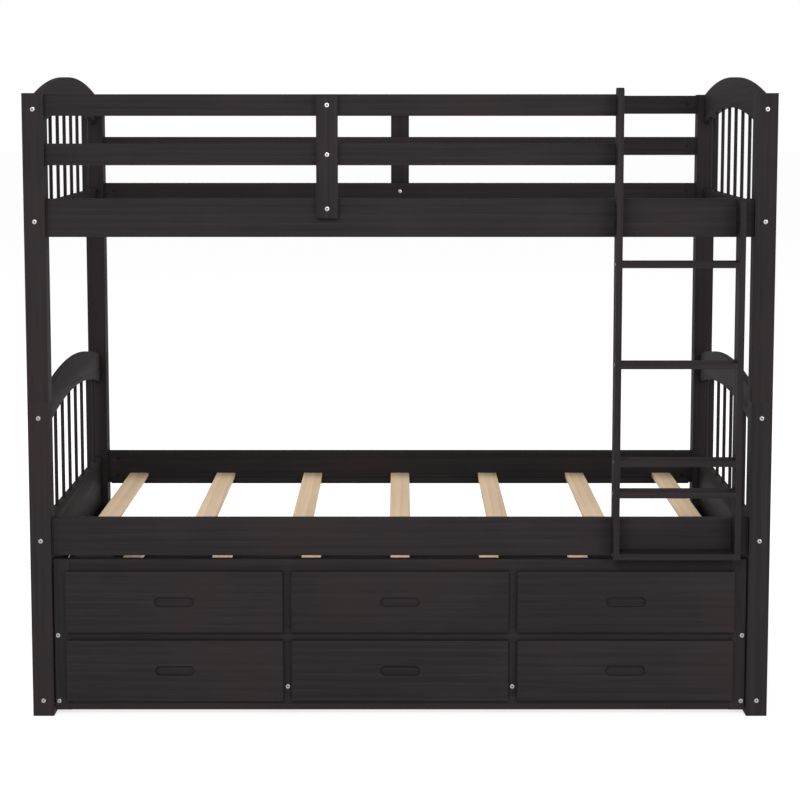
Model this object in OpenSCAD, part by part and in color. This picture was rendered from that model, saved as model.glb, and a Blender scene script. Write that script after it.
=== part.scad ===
// Bunk bed with a front ladder, guard rails and a roll-out trundle that holds three drawers.
// Millimetres, +Z up, +X to the right as seen from the ladder side, -Y towards the viewer.
// The origin is on the floor, in the middle of the whole object's bounding box.
// Inside the modules Y is counted from the posts' front faces; placed() moves it to the origin.

/* [Overall] */
// Width over the posts
bed_w = 2020; // [2020:1:2080]
// Depth over the posts, without the ladder
bed_d = 1073; // [1073:1:1120]
// Height of the post tops
post_top = 1707; // [1700:1:1730]

/* [Posts] */
// Side of the square posts
post = 57; // [54:1:60]
// Height of the seam between the lower and the upper posts
seam_z = 872; // [860:1:900]

/* [End panels] */
// Thickness of the end panels' rails
panel_t = 18; // [16:1:20]
// Height of the arched rails and of the upper cross rails
panel_rail_h = 88; // [84:1:92]
// Rise of the arched head rails at mid-depth
arch_rise = 52; // [30:1:60]
// Top of the upper cross rails
upper_cross_top = 1408; // [1395:1:1415]
// Top of the lower cross rails
lower_cross_top = 535; // [530:1:545]
// Height of the lower cross rails
lower_cross_h = 180; // [175:1:190]
// Underside of the floor stretchers
stretcher_z = 15; // [10:1:20]
// Height of the floor stretchers
stretcher_h = 56; // [50:1:60]
// Spindles in each end panel
spindle_count = 8; // [6:1:8]
// Distance between spindles
spindle_pitch = 111.4; // [100:0.1:115]
// Diameter of the spindles
spindle_d = 10; // [9:0.5:12]

/* [Bed rails] */
// Thickness of the bed rails and guard rails
rail_t = 24; // [22:1:26]
// Height of the bed rails
rail_h = 103; // [100:1:110]
// Distance of the rails behind the posts' faces, and thickness of the guard supports
setback = 18; // [16:1:20]
// Underside of the upper bed rails
upper_rail_z = 1321; // [1315:1:1330]
// Underside of the lower bed rails
lower_rail_z = 447; // [447:1:455]

/* [Slats] */
// Slats under each mattress
slat_count = 7; // [5:1:7]
// Distance between slats
slat_pitch = 284; // [260:1:300]
// Width of a slat
slat_w = 60; // [50:1:70]
// Thickness of a slat
slat_t = 13; // [12:1:15]
// Height of the cleats that carry the slats
cleat_h = 18.5; // [16:0.5:20]
// Depth of the cleats
cleat_t = 20; // [18:1:22]

/* [Guard rails] */
// Height of a guard rail
guard_h = 58; // [50:1:60]
// Top of the upper guard rails
guard_top = 1704; // [1700:1:1704]
// Top of the middle guard rails
guard_mid = 1572; // [1560:1:1580]
// Width of the guard supports
support_w = 58; // [50:1:60]
// Underside of the guard supports
support_z = 1373; // [1370:1:1380]
// Sideways place of the front guard support
support_x = -195.6; // [-300:0.1:0]

/* [Ladder] */
// Outer face of the ladder's left side rail
ladder_x = 577.7; // [540:0.1:590]
// Thickness of the ladder's side rails and treads
ladder_t = 16; // [15:1:18]
// Depth of the ladder's side rails and treads
ladder_d = 62; // [55:1:65]
// Clear width between the ladder's side rails
ladder_clear = 312.5; // [300:0.5:320]
// Underside of the ladder's side rails
ladder_foot = 448; // [448:1:452]
// Top of the tall left side rail
ladder_top = 1721; // [1710:1:1730]
// Top of the short right side rail
ladder_low_top = 1425; // [1420:1:1430]
// Mid-heights of the treads, from the lowest up
tread_heights = [456, 626, 712, 978, 1250];

/* [Trundle] */
// Clearance between the trundle and the posts
trundle_gap = 3; // [2:0.5:5]
// Underside of the trundle
trundle_z = 13.5; // [10:0.5:18]
// Top of the trundle's front
trundle_top = 436.5; // [430:0.5:437]
// Top of the trundle's side panels
trundle_side_top = 385; // [380:1:390]
// Top of the trundle's upper back rail
trundle_back_top = 290; // [260:1:320]
// Thickness of the trundle's face frame
frame_t = 24; // [20:1:26]
// Thickness of the trundle's side panels, partitions and back rails
panel = 18; // [16:1:20]
// Rear face of the trundle behind the posts' front faces
trundle_rear = 1055; // [1050:1:1060]
// Top of the trundle's slats
trundle_slat_top = 243; // [240:1:246]
// Distance of the wheels' axles from the trundle's front and rear
caster_inset = 90; // [70:1:110]

/* [Fronts and drawers] */
// Thickness of the drawer fronts and false fronts
front_t = 14; // [12:1:15]
// Width of a front
front_w = 595; // [580:1:597]
// Height of a front
front_h = 170; // [160:1:172]
// Sideways distance between fronts
front_pitch = 619; // [619:1:621]
// Underside of the lower row of fronts
lower_front_z = 42; // [40:1:44]
// Underside of the upper row of fronts
upper_front_z = 235; // [234:1:238]
// Overlap of the fronts on the face frame
overlay = 10; // [8:1:12]
// Depth of the drawer boxes
drawer_d = 450; // [400:5:480]
// Length of the finger pulls
pull_l = 108; // [90:1:120]
// Height of the finger pulls
pull_h = 27; // [24:1:30]
// Depth of the finger pulls
pull_d = 9; // [6:1:10]

/* [Hardware] */
// Diameter of the bolt heads
head_d = 12.4; // [11:0.1:13]
// Thickness of the bolt heads
head_t = 2.6; // [2:0.1:3]
// Width of the bolts' hex sockets over their corners
socket_d = 4.6; // [4:0.1:5]
// Diameter of the bolt shanks
shank_d = 6; // [5:0.5:7]
// Diameter of the barrel nuts
nut_d = 10; // [9:0.5:11]
// Radius of the caster wheels
wheel_r = 21.8; // [20:0.1:21.8]
// Width of the caster wheels
wheel_w = 17; // [15:1:18]
// Diameter of the caster axles
axle_d = 8; // [6:0.5:9]

/* [Hidden] */
$fn = 48;
arc_fn = 720;
espresso = "#383233";
pine = "#d0b99f";
nickel = "#c9c5c6";
steel = "#8c8c8e";
black_tyre = "#2a2a2b";

fit = 0.2;                               // radial clearance of a bolt or a pin in its hole
thread_fit = 0.1;                        // radial clearance of a bolt in its nut
head_room = 0.6;                         // how much wider a counterbore is than its bolt head
socket_depth = 0.75;                     // depth of a hex socket as a share of the head
glue = 0.1;                              // glue line between boards of one sub-part
half_w = bed_w / 2;
post_in = half_w - post;                 // inner faces of the posts
post_mid = half_w - post / 2;
ladder_proud = ladder_d - setback;
y_front = ladder_proud - (bed_d + ladder_proud) / 2;
rail_y = [setback, setback + rail_t];    // front bed rails and guard rails
rail_mid_y = setback + rail_t / 2;

// Bolts that tie the end panels to the posts, and the rails to the posts
panel_bolt_drop = 43;
cross_bolt_drop = 45;
lower_panel_bolts = [stretcher_z + stretcher_h / 2, lower_cross_top - cross_bolt_drop,
    seam_z - panel_bolt_drop];
upper_panel_bolts = [upper_cross_top - cross_bolt_drop, post_top - panel_bolt_drop];
rail_bolt_offsets = [24, 79];
lower_rail_bolts = [for (dz = rail_bolt_offsets) lower_rail_z + dz];
upper_rail_bolts = [for (dz = rail_bolt_offsets) upper_rail_z + dz];
guard_bolts = [guard_mid - guard_h / 2, guard_top - guard_h / 2];
support_bolt_rise = 25;
support_bolts = concat([support_z + support_bolt_rise], guard_bolts);
bolt_reach = 42;                         // how far a bolt goes into a rail's end
nut_reach = 32;                          // how far the barrel nut sits from a rail's end
nut_l = 14;
cap_nut_l = 5;
cap_end_t = 1.4;                         // closed end of a cap nut
pin_d = 10;
pin_l = 68;

// Ladder
ladder_right = ladder_x + 2 * ladder_t + ladder_clear;
ladder_y = [-ladder_proud, setback];
ladder_mid_y = setback - ladder_d / 2;
ladder_corner = 12;
ladder_rail_mids = [ladder_x + ladder_t / 2, ladder_right - ladder_t / 2];
bed_bolt_z = [lower_rail_z + rail_h / 2, upper_rail_z + rail_h / 2];
guard_end_x = ladder_x + ladder_t;
screw_l = 50;
screw_head_d = 10;
screw_d = 5;

// Trundle
trundle_x = post_in - trundle_gap;
wall_in = trundle_x - panel;
face_y = [front_t, front_t + frame_t];
tray_rear = trundle_rear - panel;
divider_x = front_pitch / 2;
divider_w = front_pitch - front_w + 2 * overlay;
stile_in = front_pitch + front_w / 2 - overlay;
lower_gap = [lower_front_z + overlay, lower_front_z + front_h - overlay];
upper_gap = [upper_front_z + overlay, upper_front_z + front_h - overlay];
trundle_cleat_h = 10;
trundle_cleat_z = trundle_slat_top - slat_t - trundle_cleat_h;
back_rail_h = 105;
stile_screws = [38, 223];
divider_screw_z = 79;

// Drawers
box_side_clear = 4;
box_w = front_pitch - divider_w - 2 * box_side_clear;
box_z = [66.3, 190];
box_t = 12;
bottom_t = 5;
bottom_rise = 6;                         // the bottom sits this far above the sides' lower edges
runner_z = [50, 66];
drawer_tail = 46;                        // free space behind a closed drawer box
runner_end = front_t + drawer_d + drawer_tail;
runner_in = 10;                          // how far a runner reaches under the drawer box

// Casters
caster_plate_t = 3;
axle_head_t = 2;
axle_head_d = axle_d + 6;
wheel_gap = 0.4;
wheel_play = 0.1;                        // how much wider a wheel's bore is than its axle
caster_x = wall_in - caster_plate_t - wheel_gap - wheel_w / 2;
caster_z = 22;                           // the wheels clear the floor by a hair
caster_rows = [front_t + caster_inset, trundle_rear - caster_inset];

// ---- Helpers ----

// Move from the posts' front plane to the origin
module placed() {
    translate([0, y_front, 0]) children();
}

// A board between two corners, each argument holding the low and the high limit
module board(x, y, z) {
    translate([x[0], y[0], z[0]]) cube([x[1] - x[0], y[1] - y[0], z[1] - z[0]]);
}

// Put a front right piece at one of the four corners
module corner(left, rear) {
    translate([0, rear ? bed_d : 0, 0])
        mirror([0, rear ? 1 : 0, 0])
            mirror([left ? 1 : 0, 0, 0]) children();
}

// A rod along X, Y or Z that starts at a point
module rod_x(p, d, l) { translate(p) rotate([0, 90, 0]) cylinder(d = d, h = l); }
module rod_y(p, d, l) { translate(p) rotate([-90, 0, 0]) cylinder(d = d, h = l); }
module rod_z(p, d, l) { translate(p) cylinder(d = d, h = l); }

// A bolt that points along +Z from the outer face of its head, with a hex socket
module bolt(length, head = head_d, thick = head_t, shank = shank_d) {
    difference() {
        union() {
            cylinder(d = head, h = thick);
            translate([0, 0, thick]) cylinder(d = shank, h = length - thick);
        }
        translate([0, 0, -1]) cylinder(d = socket_d, h = 1 + thick * socket_depth, $fn = 6);
    }
}

// The hole of such a bolt, with a counterbore that lets the head sit flush
module bolt_hole(length, head = head_d, thick = head_t, shank = shank_d) {
    translate([0, 0, -1]) cylinder(d = head + head_room, h = 1 + thick);
    cylinder(d = shank + 2 * fit, h = length + 1);
}

module along_x(p) { translate(p) rotate([0, 90, 0]) children(); }
module against_x(p) { translate(p) rotate([0, -90, 0]) children(); }
module along_y(p) { translate(p) rotate([-90, 0, 0]) children(); }
module against_y(p) { translate(p) rotate([90, 0, 0]) children(); }

// ---- Posts, drawn at the front right ----

post_bolt_l = post + bolt_reach;

module post_solid(z, panel_bolts, rail_bolts) {
    difference() {
        board([post_in, half_w], [0, post], z);
        for (bz = panel_bolts) along_y([post_mid, 0, bz]) bolt_hole(post_bolt_l);
        for (bz = rail_bolts) against_x([half_w, rail_mid_y, bz]) bolt_hole(post_bolt_l);
        rod_z([post_mid, post / 2, seam_z - pin_l / 2 - 0.5], pin_d + 2 * fit, pin_l + 1);
    }
}
module lower_post(left, rear) {
    color(espresso) placed() corner(left, rear)
        post_solid([0, seam_z], lower_panel_bolts, lower_rail_bolts);
}
module upper_post(left, rear, guards) {
    color(espresso) placed() corner(left, rear)
        post_solid([seam_z, post_top], upper_panel_bolts,
            concat(upper_rail_bolts, guards ? guard_bolts : []));
}
module lower_post_front_left() { lower_post(true, false); }
module lower_post_front_right() { lower_post(false, false); }
module lower_post_rear_left() { lower_post(true, true); }
module lower_post_rear_right() { lower_post(false, true); }
module upper_post_front_left() { upper_post(true, false, true); }
module upper_post_front_right() { upper_post(false, false, false); }
module upper_post_rear_left() { upper_post(true, true, true); }
module upper_post_rear_right() { upper_post(false, true, true); }

// ---- End panels, drawn at the right ----

panel_x = [post_mid - panel_t / 2, post_mid + panel_t / 2];
span = [post, bed_d - post];
half_span = (span[1] - span[0]) / 2;
arch_r = (half_span * half_span + arch_rise * arch_rise) / (2 * arch_rise);
arch_inner_r = arch_r - panel_rail_h;
arch_end_gap = 3;                        // the arch meets the posts this far below their tops
function arch_centre(end_z) = end_z + arch_rise - arch_r;
function arch_under(end_z, dy) = arch_centre(end_z) + sqrt(pow(arch_inner_r, 2) - dy * dy);
spindle_steps = [for (i = [0 : spindle_count - 1]) (i - (spindle_count - 1) / 2) * spindle_pitch];
spindle_sink = 10;                       // how far a spindle goes into a rail
spindle_end_gap = 0.5;
arch_slack = 12;                         // more than an arch's underside rises across a hole
upper_arch_end = post_top - arch_end_gap;
lower_arch_end = seam_z;

// Holes in the two ends of a rail that runs along Y: bolt hole and barrel-nut hole
module panel_end_holes(bolt_z) {
    for (rear = [false, true]) corner(false, rear) {
        rod_y([post_mid, post - 1, bolt_z], shank_d + 2 * fit, bolt_reach + 2);
        rod_x([panel_x[0] - 1, post + nut_reach, bolt_z], nut_d + 2 * fit, nut_l + 3);
    }
}
module arch_rail(end_z, bolt_z) {
    difference() {
        intersection() {
            translate([panel_x[0], bed_d / 2, arch_centre(end_z)]) rotate([0, 90, 0])
                difference() {
                    cylinder(r = arch_r, h = panel_t, $fn = arc_fn);
                    translate([0, 0, -1])
                        cylinder(r = arch_inner_r, h = panel_t + 2, $fn = arc_fn);
                }
            board([panel_x[0] - 5, panel_x[1] + 5], span, [end_z - 2 * panel_rail_h, end_z + 100]);
        }
        panel_end_holes(bolt_z);
        for (dy = spindle_steps)
            rod_z([post_mid, bed_d / 2 + dy, arch_under(end_z, dy) - arch_slack],
                spindle_d + 2 * fit, arch_slack + spindle_sink + 1);
    }
}
module straight_rail(z, bolt_z, spindles = true) {
    difference() {
        board(panel_x, span, z);
        panel_end_holes(bolt_z);
        if (spindles) for (dy = spindle_steps)
            rod_z([post_mid, bed_d / 2 + dy, z[1] - spindle_sink - 1],
                spindle_d + 2 * fit, spindle_sink + 2);
    }
}
module upper_arch_right() {
    color(espresso) placed() arch_rail(upper_arch_end, upper_panel_bolts[1]);
}
module upper_arch_left() { mirror([1, 0, 0]) upper_arch_right(); }
module lower_arch_right() {
    color(espresso) placed() arch_rail(lower_arch_end, lower_panel_bolts[2]);
}
module lower_arch_left() { mirror([1, 0, 0]) lower_arch_right(); }
module upper_cross_rail_right() {
    color(espresso) placed()
        straight_rail([upper_cross_top - panel_rail_h, upper_cross_top], upper_panel_bolts[0]);
}
module upper_cross_rail_left() { mirror([1, 0, 0]) upper_cross_rail_right(); }
module lower_cross_rail_right() {
    color(espresso) placed()
        straight_rail([lower_cross_top - lower_cross_h, lower_cross_top], lower_panel_bolts[1]);
}
module lower_cross_rail_left() { mirror([1, 0, 0]) lower_cross_rail_right(); }
module floor_stretchers() {
    color(espresso) placed() for (left = [false, true]) corner(left, false)
        straight_rail([stretcher_z, stretcher_z + stretcher_h], lower_panel_bolts[0], false);
}
module spindle_row(foot, end_z) {
    for (left = [false, true], dy = spindle_steps) corner(left, false)
        rod_z([post_mid, bed_d / 2 + dy, foot - spindle_sink], spindle_d,
            arch_under(end_z, dy) - foot + 2 * spindle_sink - spindle_end_gap);
}
module upper_spindles() {
    color(espresso) placed() spindle_row(upper_cross_top, upper_arch_end);
}
module lower_spindles() {
    color(espresso) placed() spindle_row(lower_cross_top, lower_arch_end);
}

// ---- Bed rails, guard rails and their supports, drawn at the front ----

// Holes in one end of a rail that runs along X and meets a post
module rail_end_holes(left, bolt_zs) {
    corner(left, false) for (bz = bolt_zs) {
        rod_x([post_in - bolt_reach - 1, rail_mid_y, bz], shank_d + 2 * fit, bolt_reach + 2);
        rod_y([post_in - nut_reach, rail_y[1] - nut_l - 3, bz], nut_d + 2 * fit, nut_l + 4);
    }
}
// Through hole for a support or ladder bolt, opened at the inner face for its head if wanted
module rail_cross_hole(x, z, head) {
    rod_y([x, rail_y[0] - 1, z], shank_d + 2 * fit, rail_t + 2);
    if (head) against_y([x, rail_y[1], z]) bolt_hole(rail_t);
}
module bed_rail(low_z, bolt_zs) {
    difference() {
        board([-post_in, post_in], rail_y, [low_z, low_z + rail_h]);
        for (left = [false, true]) rail_end_holes(left, bolt_zs);
        children();
    }
}
module upper_rail_front() {
    color(espresso) placed() bed_rail(upper_rail_z, upper_rail_bolts) {
        rail_cross_hole(support_x, support_bolts[0], false);
        for (x = ladder_rail_mids) rail_cross_hole(x, bed_bolt_z[1], true);
    }
}
module upper_rail_rear() {
    color(espresso) placed() corner(false, true) bed_rail(upper_rail_z, upper_rail_bolts)
        rail_cross_hole(0, support_bolts[0], false);
}
module lower_rail_front() {
    color(espresso) placed() bed_rail(lower_rail_z, lower_rail_bolts)
        for (x = ladder_rail_mids) rail_cross_hole(x, bed_bolt_z[0], true);
}
module lower_rail_rear() {
    color(espresso) placed() corner(false, true) bed_rail(lower_rail_z, lower_rail_bolts);
}
module front_guard(top_z) {
    mid_z = top_z - guard_h / 2;
    difference() {
        board([-post_in, guard_end_x], rail_y, [top_z - guard_h, top_z]);
        rail_end_holes(true, [mid_z]);
        rail_cross_hole(support_x, mid_z, false);
        rail_cross_hole(ladder_rail_mids[0], mid_z, true);
    }
}
module rear_guard(top_z) {
    mid_z = top_z - guard_h / 2;
    corner(false, true) difference() {
        board([-post_in, post_in], rail_y, [top_z - guard_h, top_z]);
        for (left = [false, true]) rail_end_holes(left, [mid_z]);
        rail_cross_hole(0, mid_z, false);
    }
}
module guard_top_front() { color(espresso) placed() front_guard(guard_top); }
module guard_mid_front() { color(espresso) placed() front_guard(guard_mid); }
module guard_top_rear() { color(espresso) placed() rear_guard(guard_top); }
module guard_mid_rear() { color(espresso) placed() rear_guard(guard_mid); }

module guard_support(x) {
    difference() {
        board([x - support_w / 2, x + support_w / 2], [0, setback], [support_z, guard_top]);
        for (bz = support_bolts) along_y([x, 0, bz]) bolt_hole(setback);
    }
}
module guard_supports() {
    color(espresso) placed() {
        guard_support(support_x);
        corner(false, true) guard_support(0);
    }
}
// A cap nut on the inner face of a rail closes each support bolt
module capped_bolt(x, z) {
    through = setback + rail_t;
    along_y([x, 0, z]) bolt(through + cap_nut_l - cap_end_t - thread_fit);
    difference() {
        rod_y([x, through, z], head_d - 1, cap_nut_l);
        rod_y([x, through - 1, z], shank_d + 2 * thread_fit, 1 + cap_nut_l - cap_end_t);
    }
}
module guard_bolts_and_caps() {
    color(nickel) placed() for (z = support_bolts) {
        capped_bolt(support_x, z);
        corner(false, true) capped_bolt(0, z);
    }
}

// ---- Cleats and slats ----

cleat_end_gap = 12;                      // the cleats stop this far short of the posts
cleat_half = post_in - cleat_end_gap;
slat_steps = [for (i = [0 : slat_count - 1]) (i - (slat_count - 1) / 2) * slat_pitch];
slat_end_gap = 0.5;

module bed_cleats() {
    color(espresso) placed()
        for (z = [lower_rail_z, upper_rail_z], rear = [false, true]) corner(false, rear)
            board([-cleat_half, cleat_half], [rail_y[1], rail_y[1] + cleat_t], [z, z + cleat_h]);
}
module slat_row(y, z) {
    for (x = slat_steps)
        board([x - slat_w / 2, x + slat_w / 2], [y[0] + slat_end_gap, y[1] - slat_end_gap],
            [z, z + slat_t]);
}
module upper_slats() {
    color(pine) placed() slat_row([rail_y[1], bed_d - rail_y[1]], upper_rail_z + cleat_h);
}
module lower_slats() {
    color(pine) placed() slat_row([rail_y[1], bed_d - rail_y[1]], lower_rail_z + cleat_h);
}

// ---- Bolts, barrel nuts and post pins of the bed frame ----

module frame_bolts() {
    color(nickel) placed() for (left = [false, true], rear = [false, true]) corner(left, rear) {
        open_corner = !left && !rear;
        for (z = concat(lower_panel_bolts, upper_panel_bolts))
            along_y([post_mid, 0, z]) bolt(post_bolt_l);
        for (z = concat(lower_rail_bolts, upper_rail_bolts, open_corner ? [] : guard_bolts))
            against_x([half_w, rail_mid_y, z]) bolt(post_bolt_l);
    }
}
module pins_and_barrel_nuts() {
    color(steel) placed() for (left = [false, true], rear = [false, true]) corner(left, rear) {
        open_corner = !left && !rear;
        rod_z([post_mid, post / 2, seam_z - pin_l / 2], pin_d, pin_l);
        for (z = concat(lower_panel_bolts, upper_panel_bolts)) difference() {
            rod_x([panel_x[0] + 1, post + nut_reach, z], nut_d, nut_l);
            rod_y([post_mid, post, z], shank_d + 2 * thread_fit, bolt_reach + 2);
        }
        for (z = concat(lower_rail_bolts, upper_rail_bolts, open_corner ? [] : guard_bolts))
            difference() {
                rod_y([post_in - nut_reach, rail_y[1] - nut_l - 1, z], nut_d, nut_l);
                rod_x([post_in - bolt_reach - 2, rail_mid_y, z], shank_d + 2 * thread_fit, bolt_reach + 2);
            }
    }
}

// ---- Ladder ----

ladder_bolt_l = rail_t + bolt_reach;

// Holes for one bolt that comes through a bed rail or guard rail into the rear edge
module ladder_bolt_holes(x, z) {
    rod_y([x, setback - bolt_reach - 1, z], shank_d + 2 * fit, bolt_reach + 2);
    rod_x([x - ladder_t / 2 - 1, setback - nut_reach, z], nut_d + 2 * fit, ladder_t + 2);
}
module ladder_rail(x, top_z, bolt_zs) {
    r = ladder_corner;
    sides = [x - ladder_t / 2, x + ladder_t / 2];
    difference() {
        union() {
            board(sides, ladder_y, [ladder_foot, top_z - r]);
            board(sides, [ladder_y[0] + r, ladder_y[1] - r], [top_z - 2 * r, top_z]);
            for (y = [ladder_y[0] + r, ladder_y[1] - r])
                rod_x([sides[0], y, top_z - r], 2 * r, ladder_t);
        }
        for (z = bolt_zs) ladder_bolt_holes(x, z);
        for (z = tread_heights) tread_screw_place(x, z)
            bolt_hole(screw_l, screw_head_d, head_t, screw_d);
    }
}
// A tread screw starts at the outer face of its side rail and points to the other rail
module tread_screw_place(x, z) {
    if (x == ladder_rail_mids[0]) along_x([ladder_x, ladder_mid_y, z]) children();
    else against_x([ladder_right, ladder_mid_y, z]) children();
}
module ladder_rail_left() {
    color(espresso) placed()
        ladder_rail(ladder_rail_mids[0], ladder_top, concat(bed_bolt_z, guard_bolts));
}
module ladder_rail_right() {
    color(espresso) placed() ladder_rail(ladder_rail_mids[1], ladder_low_top, bed_bolt_z);
}
module ladder_treads() {
    color(espresso) placed() for (z = tread_heights) difference() {
        board([ladder_x + ladder_t, ladder_right - ladder_t], ladder_y,
            [z - ladder_t / 2, z + ladder_t / 2]);
        for (x = ladder_rail_mids) tread_screw_place(x, z)
            bolt_hole(screw_l, screw_head_d, head_t, screw_d);
    }
}
module ladder_bolts() {
    color(nickel) placed() {
        for (z = tread_heights, x = ladder_rail_mids) tread_screw_place(x, z)
            bolt(screw_l, screw_head_d, head_t, screw_d);
        for (z = bed_bolt_z, x = ladder_rail_mids) bed_to_ladder_bolt(x, z);
        for (z = guard_bolts) bed_to_ladder_bolt(ladder_rail_mids[0], z);
    }
}
module bed_to_ladder_bolt(x, z) {
    against_y([x, rail_y[1], z]) bolt(ladder_bolt_l);
    difference() {
        rod_x([x - nut_l / 2, setback - nut_reach, z], nut_d, nut_l);
        rod_y([x, setback - bolt_reach - 2, z], shank_d + 2 * thread_fit, bolt_reach + 2);
    }
}

// ---- Trundle ----

module trundle_sides() {
    color(espresso) placed() for (left = [false, true]) corner(left, false) difference() {
        board([wall_in, trundle_x], [face_y[1], trundle_rear], [trundle_z, trundle_side_top]);
        for (z = stile_screws) trundle_screw_hole(trundle_x - panel / 2, z);
    }
}
module trundle_screw_hole(x, z) {
    along_y([x, face_y[0], z]) bolt_hole(frame_t + 36);
}
module trundle_back_rails() {
    bands = [[trundle_z, trundle_z + back_rail_h], [trundle_back_top - back_rail_h, trundle_back_top]];
    color(espresso) placed() for (z = bands)
        board([-wall_in, wall_in], [tray_rear, trundle_rear], z);
}
module trundle_stiles() {
    color(espresso) placed() for (left = [false, true]) corner(left, false) difference() {
        board([stile_in, trundle_x], face_y, [trundle_z, trundle_top]);
        for (z = stile_screws) trundle_screw_hole(trundle_x - panel / 2, z);
    }
}
module trundle_front_rails() {
    bands = [[trundle_z, lower_gap[0]], [lower_gap[1], upper_gap[0]], [upper_gap[1], trundle_top]];
    color(espresso) placed() for (z = bands) board([-stile_in, stile_in], face_y, z);
}
module trundle_dividers() {
    color(espresso) placed() for (left = [false, true], z = [lower_gap, upper_gap])
        corner(left, false) difference() {
            board([divider_x - divider_w / 2, divider_x + divider_w / 2], face_y, z);
            trundle_screw_hole(divider_x, divider_screw_z);
        }
}
module trundle_partitions() {
    color(espresso) placed() for (left = [false, true]) corner(left, false) difference() {
        board([divider_x - panel / 2, divider_x + panel / 2], [face_y[1], runner_end - glue],
            [trundle_z, trundle_cleat_z]);
        trundle_screw_hole(divider_x, divider_screw_z);
    }
    color(espresso) placed()
        board([-wall_in, wall_in], [runner_end, runner_end + panel],
            [trundle_z, trundle_cleat_z]);
}
module trundle_screws() {
    color(nickel) placed() for (left = [false, true]) corner(left, false) {
        for (z = stile_screws)
            along_y([trundle_x - panel / 2, face_y[0], z]) bolt(frame_t + 36);
        along_y([divider_x, face_y[0], divider_screw_z]) bolt(frame_t + 36);
    }
}
module trundle_cleats() {
    z = [trundle_cleat_z, trundle_slat_top - slat_t];
    color(espresso) placed() {
        board([-wall_in, wall_in], [face_y[1], face_y[1] + cleat_t], z);
        board([-wall_in, wall_in], [tray_rear - cleat_t, tray_rear], z);
    }
}
module trundle_slats() {
    color(pine) placed() slat_row([face_y[1], tray_rear], trundle_slat_top - slat_t);
}

// A front with a routed finger pull, centred on x
module front_panel(x, z) {
    mid_z = z + front_h / 2;
    run = (pull_l - pull_h) / 2;
    difference() {
        board([x - front_w / 2, x + front_w / 2], [0, front_t], [z, z + front_h]);
        board([x - run, x + run], [-1, pull_d], [mid_z - pull_h / 2, mid_z + pull_h / 2]);
        for (end = [-run, run]) rod_y([x + end, -1, mid_z], pull_h, pull_d + 1);
    }
}
module trundle_false_fronts() {
    color(espresso) placed() for (i = [-1 : 1]) front_panel(i * front_pitch, upper_front_z);
}

// ---- Drawers ----

module drawer_front(i) {
    color(espresso) placed() front_panel(i * front_pitch, lower_front_z);
}
module drawer_box(i) {
    x = i * front_pitch;
    outer = [x - box_w / 2, x + box_w / 2];
    inner = [outer[0] + box_t + glue, outer[1] - box_t - glue];
    ends = [front_t, front_t + drawer_d];
    color(pine) placed() {
        board([outer[0], outer[0] + box_t], ends, box_z);
        board([outer[1] - box_t, outer[1]], ends, box_z);
        board(inner, [ends[0], ends[0] + box_t], box_z);
        board(inner, [ends[1] - box_t, ends[1]], box_z);
        board(inner, [ends[0] + box_t + glue, ends[1] - box_t - glue],
            [box_z[0] + bottom_rise, box_z[0] + bottom_rise + bottom_t]);
    }
}
// Wooden runners under both sides of each drawer box, fixed to the partitions and side panels
module drawer_runners() {
    y = [face_y[1], runner_end];
    color(pine) placed() for (left = [false, true]) corner(left, false) {
        board([box_w / 2 - runner_in, divider_x - panel / 2], y, runner_z);
        board([divider_x + panel / 2, front_pitch - box_w / 2 + runner_in], y, runner_z);
        board([front_pitch + box_w / 2 - runner_in, wall_in], y, runner_z);
    }
}
module drawer_front_left() { drawer_front(-1); }
module drawer_front_centre() { drawer_front(0); }
module drawer_front_right() { drawer_front(1); }
module drawer_box_left() { drawer_box(-1); }
module drawer_box_centre() { drawer_box(0); }
module drawer_box_right() { drawer_box(1); }

// ---- Casters, drawn at the right ----

caster_plate = [60, 34];                 // length and height of a bracket's plate
axle_l = wheel_w + 2 * wheel_gap;

module caster_bracket(y) {
    board([wall_in - caster_plate_t, wall_in], [y - caster_plate[0] / 2, y + caster_plate[0] / 2],
        [trundle_z + 1, trundle_z + 1 + caster_plate[1]]);
    rod_x([wall_in - caster_plate_t - axle_l, y, caster_z], axle_d, axle_l);
    rod_x([wall_in - caster_plate_t - axle_l - axle_head_t, y, caster_z], axle_head_d, axle_head_t);
}
module caster_brackets() {
    color(steel) placed() for (left = [false, true], y = caster_rows)
        corner(left, false) caster_bracket(y);
}
module caster_wheel(left, y) {
    color(black_tyre) placed() corner(left, false) difference() {
        rod_x([caster_x - wheel_w / 2, y, caster_z], 2 * wheel_r, wheel_w);
        rod_x([caster_x - wheel_w / 2 - 1, y, caster_z], axle_d + wheel_play, wheel_w + 2);
    }
}
module caster_front_left() { caster_wheel(true, caster_rows[0]); }
module caster_front_right() { caster_wheel(false, caster_rows[0]); }
module caster_rear_left() { caster_wheel(true, caster_rows[1]); }
module caster_rear_right() { caster_wheel(false, caster_rows[1]); }

// ---- Assembly ----

lower_post_front_left();
lower_post_front_right();
lower_post_rear_left();
lower_post_rear_right();
upper_post_front_left();
upper_post_front_right();
upper_post_rear_left();
upper_post_rear_right();
upper_arch_left();
upper_arch_right();
lower_arch_left();
lower_arch_right();
upper_cross_rail_left();
upper_cross_rail_right();
lower_cross_rail_left();
lower_cross_rail_right();
floor_stretchers();
upper_spindles();
lower_spindles();
upper_rail_front();
upper_rail_rear();
lower_rail_front();
lower_rail_rear();
guard_top_front();
guard_mid_front();
guard_top_rear();
guard_mid_rear();
guard_supports();
bed_cleats();
upper_slats();
lower_slats();
frame_bolts();
pins_and_barrel_nuts();
guard_bolts_and_caps();
ladder_rail_left();
ladder_rail_right();
ladder_treads();
ladder_bolts();
trundle_sides();
trundle_back_rails();
trundle_stiles();
trundle_front_rails();
trundle_dividers();
trundle_false_fronts();
trundle_partitions();
drawer_runners();
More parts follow.
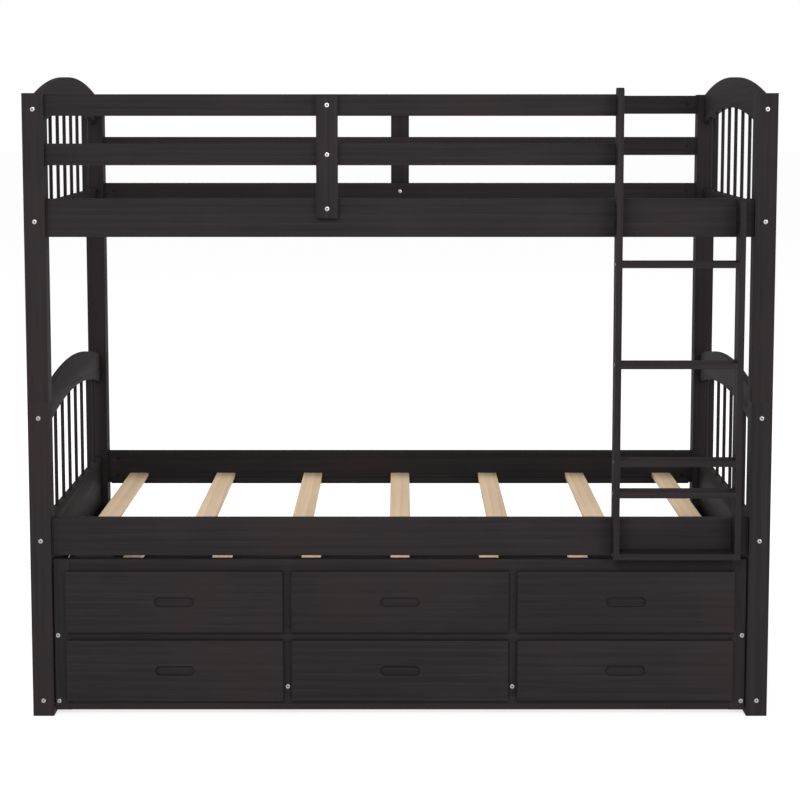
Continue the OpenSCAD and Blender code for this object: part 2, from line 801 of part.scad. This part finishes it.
trundle_cleats();
trundle_slats();
trundle_screws();
caster_brackets();
caster_front_left();
caster_front_right();
caster_rear_left();
caster_rear_right();
drawer_front_left();
drawer_box_left();
drawer_front_centre();
drawer_box_centre();
drawer_front_right();
drawer_box_right();
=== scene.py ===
import math

import bpy
from mathutils import Euler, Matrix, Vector


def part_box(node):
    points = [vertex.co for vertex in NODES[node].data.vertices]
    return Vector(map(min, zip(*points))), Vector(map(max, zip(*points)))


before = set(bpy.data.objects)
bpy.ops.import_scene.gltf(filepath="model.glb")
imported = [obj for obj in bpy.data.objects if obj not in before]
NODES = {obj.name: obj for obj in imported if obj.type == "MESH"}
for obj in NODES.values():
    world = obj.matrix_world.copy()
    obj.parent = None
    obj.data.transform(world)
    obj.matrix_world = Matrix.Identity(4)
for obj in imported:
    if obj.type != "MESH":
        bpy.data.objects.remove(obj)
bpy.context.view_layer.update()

X, Y, Z = 0, 1, 2
MM = 0.001

# ---- Which finish each sub-part takes, and which way its grain runs ----

FRONTS = ["drawer_front_left", "drawer_front_centre", "drawer_front_right", "trundle_false_fronts"]
GRAIN_X = [
    "upper_rail_front", "upper_rail_rear", "lower_rail_front", "lower_rail_rear",
    "guard_top_front", "guard_mid_front", "guard_top_rear", "guard_mid_rear",
    "bed_cleats", "ladder_treads", "trundle_front_rails", "trundle_back_rails",
    "trundle_cleats", "trundle_partitions",
]
GRAIN_Y = [
    "upper_arch_left", "upper_arch_right", "lower_arch_left", "lower_arch_right",
    "upper_cross_rail_left", "upper_cross_rail_right", "lower_cross_rail_left",
    "lower_cross_rail_right", "floor_stretchers", "trundle_sides",
]
PINE_Y = [
    "upper_slats", "lower_slats", "trundle_slats", "drawer_runners",
    "drawer_box_left", "drawer_box_centre", "drawer_box_right",
]
NICKEL = ["frame_bolts", "guard_bolts_and_caps", "ladder_bolts", "trundle_screws"]
BLACK_OXIDE = ["pins_and_barrel_nuts"]
ZINC = ["caster_brackets"]
WHEELS = ["caster_front_left", "caster_front_right", "caster_rear_left", "caster_rear_right"]
NOT_UPRIGHT = FRONTS + GRAIN_X + GRAIN_Y + PINE_Y + NICKEL + BLACK_OXIDE + ZINC + WHEELS
GRAIN_Z = [name for name in NODES if name not in NOT_UPRIGHT]


# ---- Node helpers ----

class Graph:
    """A material's node tree, with short calls to add nodes and link them."""

    def __init__(self, name):
        self.material = bpy.data.materials.new(name)
        self.material.use_nodes = True
        self.tree = self.material.node_tree
        self.shader = self.tree.nodes["Principled BSDF"]

    def node(self, kind, **inputs):
        made = self.tree.nodes.new("ShaderNode" + kind)
        for key, value in inputs.items():
            self.put(made.inputs[key.replace("_", " ")], value)
        return made

    def put(self, socket, value):
        if isinstance(value, bpy.types.NodeSocket):
            self.tree.links.new(value, socket)
        else:
            socket.default_value = value

    def math(self, operation, a, b):
        made = self.tree.nodes.new("ShaderNodeMath")
        made.operation = operation
        self.put(made.inputs[0], a)
        self.put(made.inputs[1], b)
        return made.outputs[0]

    def vector_math(self, operation, *values):
        made = self.tree.nodes.new("ShaderNodeVectorMath")
        made.operation = operation
        for socket, value in zip(made.inputs, values):
            self.put(socket, value)
        return made.outputs

    def noise(self, vector, scale=1.0, detail=3.0, roughness=0.55, distortion=0.0):
        made = self.node(
            "TexNoise", Vector=vector, Scale=scale, Detail=detail,
            Roughness=roughness, Distortion=distortion,
        )
        return made.outputs["Fac"]

    def grain_noise(self, vector, axis, with_grain, across, **look):
        """Noise stretched along the grain; with_grain and across are its scales per metre."""
        place = self.node("Mapping", Vector=vector, Scale=along(axis, with_grain, across))
        return self.noise(place.outputs["Vector"], **look)

    def remap(self, value, low, high, to_low=0.0, to_high=1.0):
        made = self.tree.nodes.new("ShaderNodeMapRange")
        self.put(made.inputs["Value"], value)
        made.inputs["From Min"].default_value = low
        made.inputs["From Max"].default_value = high
        made.inputs["To Min"].default_value = to_low
        made.inputs["To Max"].default_value = to_high
        return made.outputs["Result"]

    def mix(self, factor, a, b, blend="MIX"):
        made = self.tree.nodes.new("ShaderNodeMix")
        made.data_type = "RGBA"
        made.blend_type = blend
        self.put(made.inputs["Factor"], factor)
        self.put(made.inputs["A"], a)
        self.put(made.inputs["B"], b)
        return made.outputs["Result"]

    def bump(self, height, strength, distance):
        made = self.node("Bump", Height=height, Strength=strength, Distance=distance)
        return made.outputs["Normal"]

    def edge_mask(self, radius):
        """About 1 on a worn edge and 0 on a flat face."""
        soft = self.node("Bevel", Radius=radius)
        soft.samples = 4
        hard = self.node("NewGeometry")
        dot = self.vector_math("DOT_PRODUCT", soft.outputs["Normal"], hard.outputs["Normal"])
        return self.remap(dot["Value"], low=0.995, high=0.86)


def linear(r, g, b):
    """An sRGB colour in 0..255 as a linear RGBA tuple."""
    def one(c):
        c /= 255
        return c / 12.92 if c <= 0.04045 else ((c + 0.055) / 1.055) ** 2.4
    return (one(r), one(g), one(b), 1.0)


def along(axis, with_grain, across):
    """Mapping scale that stretches a texture along the grain axis."""
    return tuple(with_grain if i == axis else across for i in range(3))


# ---- Wood ----

# Noise layers, with their scales per metre along and across the grain
BANDS = {"with_grain": 1.6, "across": 95.0, "detail": 5.0, "roughness": 0.65, "distortion": 0.4}
FIBRES = {"with_grain": 7.0, "across": 420.0, "detail": 5.0, "roughness": 0.62}
PORES = {"with_grain": 26.0, "across": 1500.0, "detail": 2.0, "roughness": 0.5}
PATCHES = {"scale": 2.6, "detail": 3.0}
SCUFFS = {"scale": 60.0, "detail": 4.0, "roughness": 0.65}
# Growth rings round a heart that lies outside the board
RINGS = {
    "Scale": 19.0, "Distortion": 4.6, "Detail": 3.0, "Detail Scale": 0.22, "Detail Roughness": 0.6,
}
HEART_PLACE = (0.9, 0.7, 0.8)
HEART_STRETCH = 0.16
# How far a sub-part's random tone slides the figure, so that no two sub-parts match
FIGURE_SLIDE = (3.1, 5.7, 4.3)
# Share of the bands in the figure; rings and fibres have the rest
BAND_SHARE = 0.38
# Places of the dark, middle and light colours in the figure
RAMP = (0.26, 0.5, 0.74)
PORE_DEPTH = 0.42
PORE_DARKENING = 0.45
TONE_SPREAD = 0.04
PATCH_SPREAD = 0.06
TINT_DEPTH = 0.6
WEAR_RADIUS = 1.6 * MM
FIBRE_RELIEF = 0.6
RELIEF_DEPTH = 0.25 * MM


def growth_rings(g, where, axis):
    heart = g.node(
        "Mapping", Vector=where, Location=HEART_PLACE, Scale=along(axis, HEART_STRETCH, 1.0),
    )
    wave = g.node("TexWave", Vector=heart.outputs["Vector"])
    wave.wave_type = "RINGS"
    wave.rings_direction = "XYZ"[axis]
    wave.wave_profile = "SAW"
    for key, value in RINGS.items():
        wave.inputs[key].default_value = value
    return wave.outputs["Fac"]


def wood(name, axis, dark, mid, light, tint, wear, rough, gloss, streak, ring, pore_bump):
    """Planed board: growth bands, fine fibre streaks, pores, worn edges."""
    g = Graph(name)
    place = g.node("TexCoord").outputs["Object"]
    tone = g.node("ObjectInfo").outputs["Random"]
    tones = g.node("CombineXYZ", X=tone, Y=tone, Z=tone).outputs["Vector"]
    where = g.vector_math("MULTIPLY_ADD", tones, FIGURE_SLIDE, place)["Vector"]
    bands = g.grain_noise(where, axis, **BANDS)
    fibres = g.grain_noise(where, axis, **FIBRES)
    pores = g.grain_noise(where, axis, **PORES)
    patch = g.noise(where, **PATCHES)

    ring_part = g.math("MULTIPLY", growth_rings(g, where, axis), ring)
    grain = g.math("ADD", g.math("MULTIPLY", bands, BAND_SHARE), ring_part)
    grain = g.math("ADD", grain, g.math("MULTIPLY", fibres, 1 - BAND_SHARE - ring))
    ramp = g.tree.nodes.new("ShaderNodeValToRGB")
    first, last = ramp.color_ramp.elements
    first.position, first.color = RAMP[0], dark
    last.position, last.color = RAMP[2], light
    ramp.color_ramp.elements.new(RAMP[1]).color = mid
    g.put(ramp.inputs["Fac"], grain)

    pore_mask = g.remap(pores, low=0.60, high=0.74, to_high=PORE_DEPTH * streak)
    pore_colour = tuple(c * PORE_DARKENING for c in dark[:3]) + (1.0,)
    colour = g.mix(pore_mask, ramp.outputs["Color"], pore_colour)
    board_level = g.remap(tone, low=0.0, high=1.0, to_low=1 - TONE_SPREAD, to_high=1 + TONE_SPREAD)
    patch_level = g.remap(patch, low=0.3, high=0.7, to_low=-PATCH_SPREAD, to_high=PATCH_SPREAD)
    level = g.math("ADD", board_level, patch_level)
    grey = g.node("CombineColor", Red=level, Green=level, Blue=level).outputs["Color"]
    colour = g.mix(1.0, colour, grey, "MULTIPLY")
    colour = g.mix(g.remap(patch, low=0.47, high=0.70, to_high=TINT_DEPTH), colour, tint)
    scuff = g.remap(g.noise(place, **SCUFFS), low=0.42, high=0.66, to_low=0.15, to_high=0.75)
    colour = g.mix(g.math("MULTIPLY", g.edge_mask(WEAR_RADIUS), scuff), colour, wear)

    fibre_relief = g.math("MULTIPLY", fibres, FIBRE_RELIEF)
    relief = g.math("ADD", fibre_relief, g.math("MULTIPLY", pores, 1 - FIBRE_RELIEF))
    dullness = g.remap(fibres, low=0.25, high=0.75, to_low=rough - 0.07, to_high=rough + 0.08)
    g.put(g.shader.inputs["Base Color"], colour)
    g.put(g.shader.inputs["Roughness"], dullness)
    g.shader.inputs["Specular IOR Level"].default_value = gloss
    g.put(g.shader.inputs["Normal"], g.bump(relief, pore_bump, RELIEF_DEPTH))
    return g.material


def espresso(name, axis):
    return wood(
        name, axis, dark=linear(27, 25, 25), mid=linear(35, 32, 33), light=linear(43, 39, 40),
        tint=linear(41, 33, 34), wear=linear(52, 47, 46), rough=0.62, gloss=0.035, streak=0.8,
        ring=0.13, pore_bump=0.3,
    )


def pine(name, axis):
    return wood(
        name, axis, dark=linear(188, 162, 130), mid=linear(201, 177, 148),
        light=linear(210, 190, 167), tint=linear(204, 178, 146), wear=linear(218, 202, 182),
        rough=0.62, gloss=0.2, streak=0.35, ring=0.22, pore_bump=0.25,
    )


# ---- Metal and plastic ----

TURNING_MARKS = {"with_grain": 2400.0, "across": 900.0, "detail": 3.0, "roughness": 0.6}
TARNISH = {"scale": 75.0, "detail": 4.0, "roughness": 0.6}
TARNISH_DEPTH = 0.55
# Painted shade on metal: the dark colour laid into sockets and corners, and how far the occlusion
# search reaches
SOCKET_SHADE_COLOUR = linear(40, 38, 38)
SOCKET_SHADE_REACH = 4.0 * MM
MARK_DEPTH = 0.05 * MM


def metal(name, base, dark, rough, brush):
    """Plated steel with fine turning marks, a little tarnish, and painted shade that darkens its
    corners and sockets.
    """
    g = Graph(name)
    place = g.node("TexCoord").outputs["Object"]
    marks = g.grain_noise(place, Z, **TURNING_MARKS)
    tarnish = g.remap(g.noise(place, **TARNISH), low=0.48, high=0.75, to_high=TARNISH_DEPTH)
    open_air = g.node("AmbientOcclusion", Distance=SOCKET_SHADE_REACH)
    open_air.samples = 8
    # Painted shade: the base colour goes dark where ambient occlusion finds the metal enclosed, in
    # hex sockets and corners
    painted_socket_shade = g.remap(open_air.outputs["AO"], low=0.45, high=0.95, to_low=1.0, to_high=0.0)
    dullness = g.remap(marks, low=0.3, high=0.7, to_low=rough - 0.06, to_high=rough + 0.10)
    g.put(g.shader.inputs["Base Color"], g.mix(painted_socket_shade, g.mix(tarnish, base, dark), SOCKET_SHADE_COLOUR))
    g.put(g.shader.inputs["Roughness"], dullness)
    g.shader.inputs["Metallic"].default_value = 1.0
    g.put(g.shader.inputs["Normal"], g.bump(marks, brush, MARK_DEPTH))
    return g.material


def nickel():
    return metal("nickel", linear(168, 166, 166), linear(132, 129, 127), rough=0.36, brush=0.2)


def black_oxide():
    return metal("black_oxide", linear(34, 31, 32), linear(22, 20, 20), rough=0.6, brush=0.3)


def zinc_steel():
    return metal("zinc_steel", linear(158, 158, 160), linear(110, 108, 106), rough=0.42, brush=0.3)


def wheel_plastic():
    """Black moulded wheel, dusty where it rolls."""
    black, dusty = linear(24, 24, 25), linear(72, 70, 68)
    edge_dust = 0.35
    g = Graph("wheel_plastic")
    place = g.node("TexCoord").outputs["Object"]
    dust = g.noise(place, scale=140.0, detail=4.0, roughness=0.65)
    grain = g.noise(place, scale=1900.0, detail=2.0, roughness=0.5)
    face_dust = g.remap(dust, low=0.45, high=0.8, to_high=0.35)
    mask = g.math("ADD", face_dust, g.math("MULTIPLY", g.edge_mask(2.0 * MM), edge_dust))
    g.put(g.shader.inputs["Base Color"], g.mix(mask, black, dusty))
    g.put(g.shader.inputs["Roughness"], g.remap(dust, low=0.3, high=0.8, to_low=0.42, to_high=0.66))
    g.put(g.shader.inputs["Normal"], g.bump(grain, strength=0.2, distance=0.08 * MM))
    return g.material


# ---- Eased edges ----

WELD_REACH = 0.01 * MM
FLAT_ANGLE = math.radians(0.3)
SHARP_ANGLE = math.radians(40)


def ease_edges(obj, width, segments):
    """Round the sharp edges of a CAD node with modifiers; its own mesh stays as it is."""
    weld = obj.modifiers.new("weld", "WELD")
    weld.merge_threshold = WELD_REACH
    flat = obj.modifiers.new("flat", "DECIMATE")
    flat.decimate_type = "DISSOLVE"
    flat.angle_limit = FLAT_ANGLE
    bevel = obj.modifiers.new("ease", "BEVEL")
    bevel.width = width
    bevel.segments = segments
    bevel.limit_method = "ANGLE"
    bevel.angle_limit = SHARP_ANGLE
    bevel.harden_normals = True
    for face in obj.data.polygons:
        face.use_smooth = True


def dress(names, material, ease, segments=3):
    for name in names:
        obj = NODES[name]
        obj.data.materials.clear()
        obj.data.materials.append(material)
        ease_edges(obj, ease, segments)


dress(GRAIN_X, espresso("espresso_x", X), ease=2.0 * MM)
dress(FRONTS, espresso("espresso_front", X), ease=3.6 * MM, segments=4)
dress(GRAIN_Y, espresso("espresso_y", Y), ease=2.0 * MM)
dress(GRAIN_Z, espresso("espresso_z", Z), ease=2.4 * MM)
dress(PINE_Y, pine("pine_y", Y), ease=1.2 * MM, segments=2)
dress(NICKEL, nickel(), ease=0.5 * MM, segments=2)
dress(BLACK_OXIDE, black_oxide(), ease=0.4 * MM, segments=2)
dress(ZINC, zinc_steel(), ease=0.4 * MM, segments=2)
dress(WHEELS, wheel_plastic(), ease=1.5 * MM)


# ---- Floor, light and camera ----

WHITE = (1, 1, 1, 1)
FLOOR_GREY = (0.34, 0.34, 0.34, 1)
FLOOR_ROUGHNESS = 0.9
FLOOR_REACH = 60.0


def sweep():
    """Pale floor that fades to plain white far from the bed."""
    mesh = bpy.data.meshes.new("floor")
    ends = (-FLOOR_REACH, FLOOR_REACH)
    corners = [(x, y, 0) for x in ends for y in ends]
    mesh.from_pydata(corners, [], [(0, 2, 3, 1)])
    floor = bpy.data.objects.new("floor", mesh)
    bpy.context.scene.collection.objects.link(floor)
    g = Graph("floor_white")
    from_middle = g.vector_math("LENGTH", g.node("TexCoord").outputs["Object"])["Value"]
    glow = g.remap(from_middle, low=1.2, high=3.0, to_low=0.73, to_high=0.81)
    g.shader.inputs["Base Color"].default_value = FLOOR_GREY
    g.shader.inputs["Roughness"].default_value = FLOOR_ROUGHNESS
    g.shader.inputs["Specular IOR Level"].default_value = 0.0
    g.shader.inputs["Emission Color"].default_value = WHITE
    g.put(g.shader.inputs["Emission Strength"], glow)
    mesh.materials.append(g.material)


def soft_light(name, place, aim, size, power):
    data = bpy.data.lights.new(name, "AREA")
    data.shape = "RECTANGLE"
    data.size, data.size_y = size
    data.energy = power
    lamp = bpy.data.objects.new(name, data)
    lamp.location = place
    lamp.rotation_mode = "QUATERNION"
    lamp.rotation_quaternion = (Vector(aim) - Vector(place)).to_track_quat("-Z", "Y")
    bpy.context.scene.collection.objects.link(lamp)


def world_light(strength):
    """White to the camera, and a weaker light on the bed."""
    world = bpy.data.worlds.new("studio")
    world.use_nodes = True
    tree = world.node_tree
    back = tree.nodes["Background"]
    back.inputs["Color"].default_value = WHITE
    path = tree.nodes.new("ShaderNodeLightPath")
    level = tree.nodes.new("ShaderNodeMapRange")
    level.inputs["To Min"].default_value = strength
    level.inputs["To Max"].default_value = 1.0
    tree.links.new(path.outputs["Is Camera Ray"], level.inputs["Value"])
    tree.links.new(level.outputs["Result"], back.inputs["Strength"])
    bpy.context.scene.world = world


def camera():
    """Eye 5.11 m in front of the posts at 1.68 m, looking down a little.

    The view's horizon lies well above the middle of the frame. A small shift keeps the posts
    almost upright, and the tilt does the rest, so that the other views still show the whole bed.
    """
    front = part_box("lower_post_front_left")[0].y
    eye_height, distance = 1.68, 5.111
    lens, sensor = 85.8, 36.0
    horizon, shift = 0.371, 0.13
    level_angle = math.radians(90)
    tilt = math.atan((horizon - shift) * sensor / lens)
    data = bpy.data.cameras.new("camera")
    data.lens = lens
    data.sensor_width = sensor
    data.shift_y = -shift
    cam = bpy.data.objects.new("camera", data)
    cam.location = (0.0, front - distance, eye_height)
    cam.rotation_euler = Euler((level_angle - tilt, 0.0, 0.0))
    bpy.context.scene.collection.objects.link(cam)
    bpy.context.scene.camera = cam


KEY, FILL, BACK, WORLD = 390, 175, 300, 0.5
BED_MIDDLE = (0, 0, 0.9)
sweep()
soft_light("key", (-1.5, -6.5, 4.4), BED_MIDDLE, (4.0, 3.0), KEY)
soft_light("fill", (3.0, -6.0, 3.0), (0, 0, 0.8), (3.0, 3.0), FILL)
soft_light("back_left", (-6.2, 3.4, 3.2), BED_MIDDLE, (3.0, 3.0), BACK)
soft_light("back_right", (6.2, 3.4, 3.2), BED_MIDDLE, (3.0, 3.0), BACK)
world_light(WORLD)
camera()
bpy.context.scene.view_settings.view_transform = "Standard"
